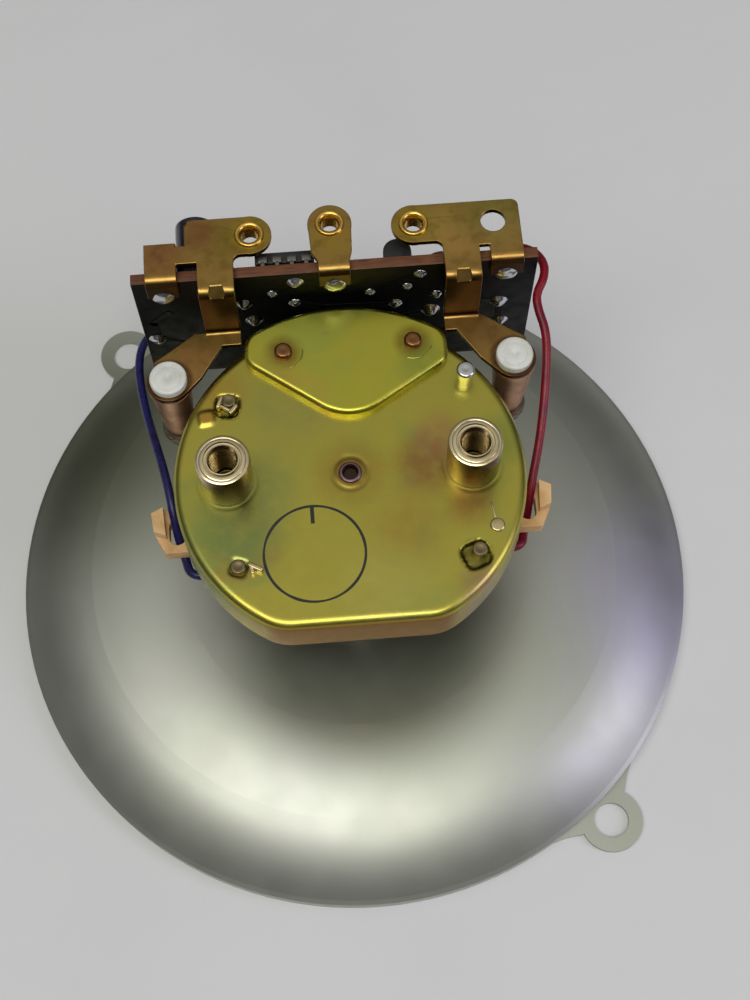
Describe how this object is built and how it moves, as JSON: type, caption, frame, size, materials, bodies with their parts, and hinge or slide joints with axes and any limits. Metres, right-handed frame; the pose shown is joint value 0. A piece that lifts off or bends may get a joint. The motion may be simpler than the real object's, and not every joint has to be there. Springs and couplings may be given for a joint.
{
  "type": "electric dial movement",
  "caption": "Bare dial movement: dished aluminium dial, geared stepping motor under a round steel cover, hand, circuit board with screw terminals and leads.",
  "frame": {"origin": "centre of the dial rim at the plane of its base, under the spindle", "axes": "+Z towards the rear of the instrument, where the rear cover and the terminals are; +Y from the spindle towards the circuit board"},
  "size_m": [0.1, 0.1, 0.0485],
  "materials": {
    "dial_aluminium": "satin blasted and clear anodised",
    "passivated_steel": "yellow passivated zinc, iridescent",
    "passivated_strap": "bronze-yellow passivated zinc, iridescent",
    "standoff_steel": "turned, pale yellow passivation",
    "frame_steel": "zinc plated",
    "motor_steel": "plain drawn",
    "bright_steel": "polished",
    "gear_brass": "machined",
    "eyelet_brass": "polished",
    "copper_winding": "enamelled wire",
    "post_copper": "bronze-brown plated",
    "ferrite": "sintered",
    "tan_resin": "moulded, slightly translucent",
    "white_nylon": "moulded",
    "black_plastic": "moulded",
    "capacitor_sleeve": "heat-shrunk sleeve",
    "resistor_lacquer": "lacquer dipped",
    "board_laminate": "black solder resist, brown paper-phenolic edge",
    "solder": "bright tin-lead",
    "red_insulation": "smooth",
    "blue_insulation": "smooth",
    "hand_paint": "matt paint"
  },
  "bodies": {
    "root": {"bobbin_front": "tan_resin", "bobbin_rear": "tan_resin", "bridge_plate": "passivated_steel", "bridge_rivets": "passivated_steel", "capacitor": "capacitor_sleeve", "circuit_board": "board_laminate", "cover_pillars": "frame_steel", "cover_tabs": "passivated_steel", "dial_plate": "dial_aluminium", "dial_screws": "bright_steel", "driver_chip": "black_plastic", "film_capacitor": "resistor_lacquer", "front_bush": "gear_brass", "front_plate": "frame_steel", "gear_pillars": "frame_steel", "ground_pin": "bright_steel", "lead_blue": "blue_insulation", "lead_red": "red_insulation", "middle_plate": "frame_steel", "pole_ring": "motor_steel", "post_cap_left": "white_nylon", "post_cap_right": "white_nylon", "rear_bearing": "gear_brass", "rear_cover": "passivated_steel", "resistors": "resistor_lacquer", "rotor_bush": "gear_brass", "solder_joints": "solder", "spacer_post_left": "post_copper", "spacer_post_right": "post_copper", "standoffs": "standoff_steel", "stator_can": "motor_steel", "terminal_eyelets": "eyelet_brass", "terminal_left": "passivated_strap", "terminal_middle": "passivated_strap", "terminal_right": "passivated_strap", "transistor": "black_plastic", "trim_block": "black_plastic", "winding_front": "copper_winding", "winding_rear": "copper_winding", "zero_stop": "bright_steel"},
    "rotor": {"rotor_magnet": "ferrite", "rotor_hub": "black_plastic", "rotor_arbor": "bright_steel", "rotor_pinion": "gear_brass"},
    "intermediate": {"intermediate_arbor": "bright_steel", "intermediate_wheel": "gear_brass", "intermediate_pinion": "gear_brass"},
    "hand_set": {"hand": "hand_paint", "hand_cap": "black_plastic", "hand_spindle": "bright_steel", "hand_wheel": "gear_brass"}
  },
  "joints": [
    {"name": "rotor_spin", "type": "hinge", "parent": "root", "child": "rotor", "pos_m": [0, 0, 0.032], "axis": [0, 0, 1], "range_deg": [0, 4800]},
    {"name": "intermediate_spin", "type": "hinge", "parent": "root", "child": "intermediate", "pos_m": [0, 0.0105, 0.018], "axis": [0, 0, 1], "range_deg": [-1200, 0]},
    {"name": "hand_spin", "type": "hinge", "parent": "root", "child": "hand_set", "pos_m": [0, 0, 0.01], "axis": [0, 0, 1], "range_deg": [0, 300]}
  ],
  "couplings": [
    {"joint": "intermediate_spin", "follows": "rotor_spin", "ratio": -0.25},
    {"joint": "hand_spin", "follows": "rotor_spin", "ratio": 0.0625}
  ]
}
